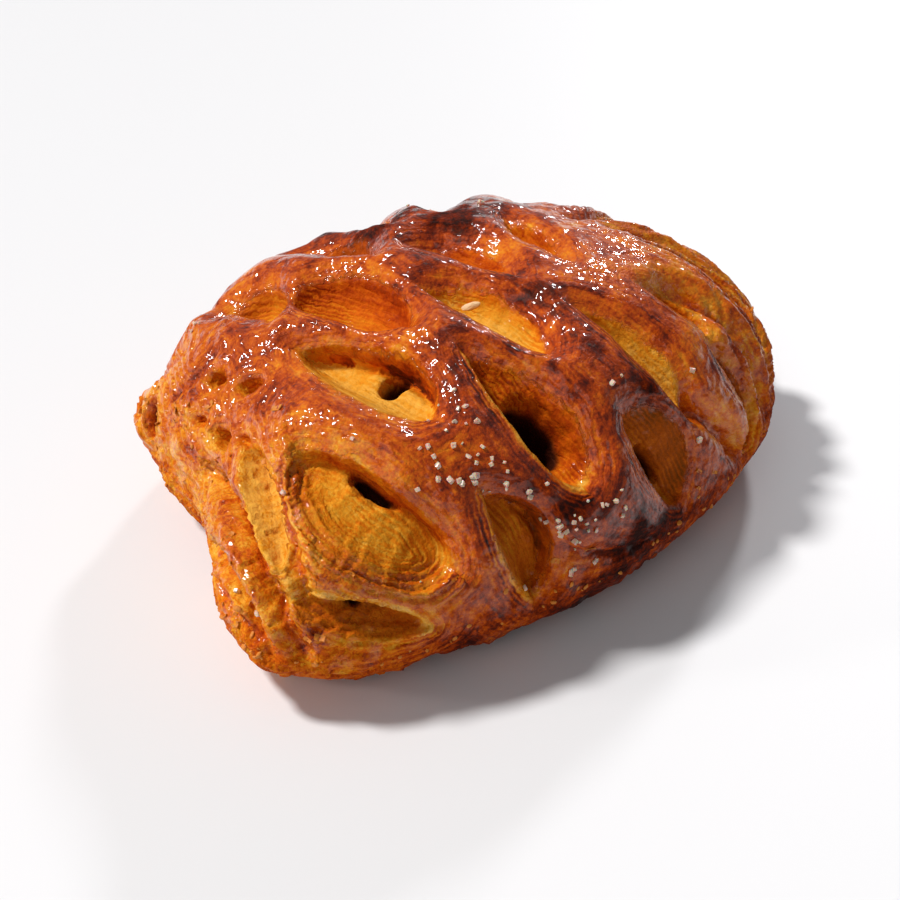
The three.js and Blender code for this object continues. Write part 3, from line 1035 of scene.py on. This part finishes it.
# %% One flake
FLAKE_LENGTH = 2.6
FLAKE_WIDTH = 1.5
FLAKE_CURL = 0.45
FLAKE_THICKNESS = 0.16
bpy.ops.object.select_all(action="DESELECT")
bpy.ops.mesh.primitive_grid_add(x_subdivisions=4, y_subdivisions=2, size=1.0)
flake = bpy.context.object
flake.name = "flakes"
sheet = mesh_vectors(flake.data)
narrowing = 1 - 1.1 * sheet[:, 0] ** 2
curl = FLAKE_CURL * (2 * sheet[:, 0]) ** 2 + 0.12 * np.sin(9 * sheet[:, 0]) * sheet[:, 1]
sheet = np.stack([FLAKE_LENGTH * sheet[:, 0], FLAKE_WIDTH * sheet[:, 1] * narrowing, curl], axis=1)
sheet += dice.normal(0, 0.07, sheet.shape)
set_places(flake.data, sheet * MM)
thickness = flake.modifiers.new("thickness", "SOLIDIFY")
thickness.thickness = FLAKE_THICKNESS * MM
bpy.ops.object.modifier_apply(modifier=thickness.name)
print("one flake has", len(flake.data.polygons), "faces")

# %% One crumb
CRUMB = 1.0
bpy.ops.object.select_all(action="DESELECT")
bpy.ops.mesh.primitive_ico_sphere_add(subdivisions=2, radius=0.5 * CRUMB * MM)
crumb = bpy.context.object
crumb.name = "crumbs"
lump = mesh_vectors(crumb.data)
lump *= (1 + 0.35 * swellings(lump / MM, 0.5, 41))[:, None] * np.array([1.2, 1.0, 0.7])
set_places(crumb.data, lump)
print("one crumb has", len(crumb.data.polygons), "faces")

# %% Where they lie
# Bearing, rise, how many lie there and how far they spread, in degrees.
FLAKE_SPOTS = [
    (243, 80, 1, 0.0), (165, 22, 9, 9.0), (182, 24, 9, 8.0), (178, 12, 7, 9.0), (190, 44, 4, 5.0),
    (204, 26, 5, 4.0), (206, 6, 6, 6.0), (150, 20, 5, 7.0), (218, 22, 3, 4.0), (120, 20, 6, 14.0),
    (60, 15, 5, 14.0), (20, 20, 4, 10.0), (340, 20, 4, 8.0), (252, 8, 2, 5.0), (300, 10, 3, 6.0),
]
PALE_BIT = (254, 85)
LOWEST_CRUMB = 0.0012  # metres above the floor
CRUMB_SPOTS = [
    (200, -4, 14, 6.0), (208, -2, 12, 4.0), (178, -4, 10, 8.0), (232, -6, 10, 8.0), (258, -6, 10, 9.0),
    (284, -6, 8, 8.0), (158, -2, 6, 8.0), (310, -4, 6, 8.0), (170, 24, 8, 9.0), (206, 8, 8, 4.0),
    (100, -4, 8, 16.0), (50, -4, 8, 16.0), (0, -4, 8, 16.0), (195, 20, 5, 6.0),
]


def strew(model, spots, sizes, most_tilt):
    """Copies of a model on its spots, joined into one piece."""
    copies = []
    for bearing, rise_degrees, count, spread in spots:
        for _ in range(count):
            off_bearing, off_rise = dice.normal(0, max(spread, 0.01), 2)
            rise_there = max(-14, rise_degrees + 0.7 * off_rise)
            place_found, facing, _ = on_crust(bearing + off_bearing, rise_there)
            turn = Quaternion((0, 0, 1), dice.uniform(0, 2 * math.pi))
            tilt = Quaternion(Vector((*dice.normal(0, 1, 2), 0)).normalized(), dice.uniform(0, most_tilt))
            size = Vector([dice.uniform(*sizes)] * 3)
            size.x *= dice.uniform(0.7, 1.3)
            if place_found is None or place_found.z < LOWEST_CRUMB:
                continue
            copies.append(copy_onto(model, place_found, facing, size, turn @ tilt))
    bpy.data.objects.remove(model)
    print(len(copies), copies[0].name)
    return join_copies(copies, copies[0].name.split(".")[0])


place_found, facing, _ = on_crust(*PALE_BIT)
pale_bit = copy_onto(crumb, place_found, facing, Vector((3.2, 1.3, 1.3)), Quaternion((0, 0, 1), 0.5))
pale_bit.name = "pale_bit"
flakes = strew(flake, FLAKE_SPOTS, (0.3, 0.75), 0.35)
crumbs = strew(crumb, CRUMB_SPOTS, (0.4, 1.1), 1.5)

# %% Their finish
loose, tree, shader, place = new_finish("loose_crust")
loose_colour = blend_colour(mottle(2.5, 3.0, 0.6), (0.30, 0.060, 0.004), (0.74, 0.27, 0.03))
loose_colour = blend_colour(node_clamp(mottle(9.0)), loose_colour, (0.66, 0.22, 0.02))
join(loose_colour, shader.inputs["Base Color"])
join(bumps(mottle(0.6), 0.15), shader.inputs["Normal"])
shader.inputs["Roughness"].default_value = 0.5
shader.inputs["Specular IOR Level"].default_value = 0.3
for piece in (flakes, crumbs):
    piece.data.materials.append(loose)
    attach(piece, "root")

pale, tree, shader, place = new_finish("pale_dough")
join(blend_colour(mottle(1.2), (0.78, 0.46, 0.18), (0.86, 0.68, 0.44)), shader.inputs["Base Color"])
shader.inputs["Roughness"].default_value = 0.5
pale_bit.data.materials.append(pale)
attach(pale_bit, "root")
